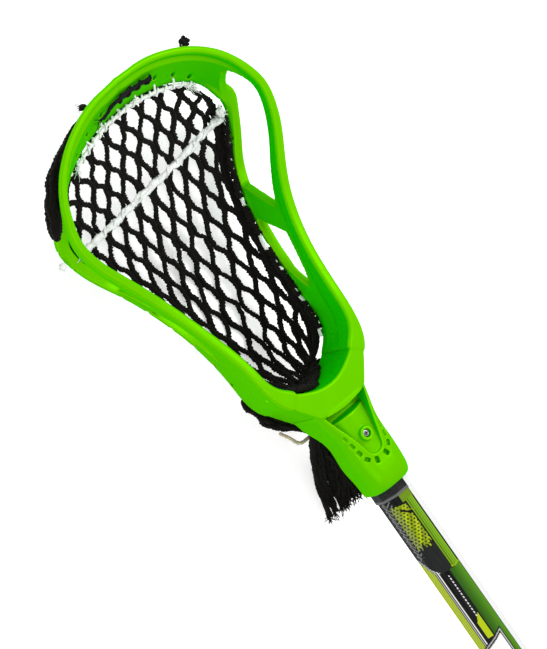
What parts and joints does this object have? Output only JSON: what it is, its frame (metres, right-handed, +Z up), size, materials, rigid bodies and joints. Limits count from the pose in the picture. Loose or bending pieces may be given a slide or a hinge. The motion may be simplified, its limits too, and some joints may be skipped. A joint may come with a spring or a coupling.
{
  "type": "lacrosse stick",
  "caption": "Field lacrosse stick: a moulded open head with scoop, sidewalls and ball stop, a strung net pocket, and an octagonal tube shaft with a rubber end cap.",
  "frame": {"origin": "on the floor under the middle of the stick, the stick lying face up", "axes": "+Y along the shaft towards the scoop, +Z up out of the open face, +X across to the right"},
  "size_m": [0.1775, 0.94, 0.0815],
  "materials": {
    "head_plastic": "bright green moulded nylon, satin to gloss",
    "screw_chrome": "plated steel",
    "shaft_metal": "printed and lacquered tube, black and green pattern",
    "black_rubber": "matte black",
    "net_cord": "knitted polyester net, matte black",
    "black_string": "braided nylon string",
    "white_string": "braided nylon string, slightly frayed",
    "beige_string": "braided string"
  },
  "bodies": {
    "stick": {"head_frame": "head_plastic", "shaft": "shaft_metal", "throat_collar": "black_rubber", "mesh_pocket": "net_cord", "mesh_gather": "net_cord", "mesh_top_fold": "net_cord", "top_string": "black_string", "scoop_lacing": "white_string", "sidewall_string_left": "white_string", "sidewall_string_right": "white_string", "shooting_string": "white_string", "bottom_string": "beige_string", "top_knot_left": "black_string", "top_knot_right": "black_string", "sidewall_knot_left": "white_string", "sidewall_knot_right": "white_string", "mesh_tail_1": "net_cord", "mesh_tail_2": "net_cord", "mesh_tail_3": "net_cord", "mesh_tail_4": "net_cord", "mesh_tail_5": "net_cord", "mesh_tail_6": "net_cord"},
    "screw": {"head_screw": "screw_chrome"},
    "cap": {"butt_cap": "black_rubber"}
  },
  "joints": [
    {"name": "screw_back_out", "type": "slide", "parent": "stick", "child": "screw", "axis": [0, 0, 1], "range_m": [0, 0.014]},
    {"name": "cap_pull_off", "type": "slide", "parent": "stick", "child": "cap", "axis": [0, -1, 0], "range_m": [0, 0.036]}
  ]
}
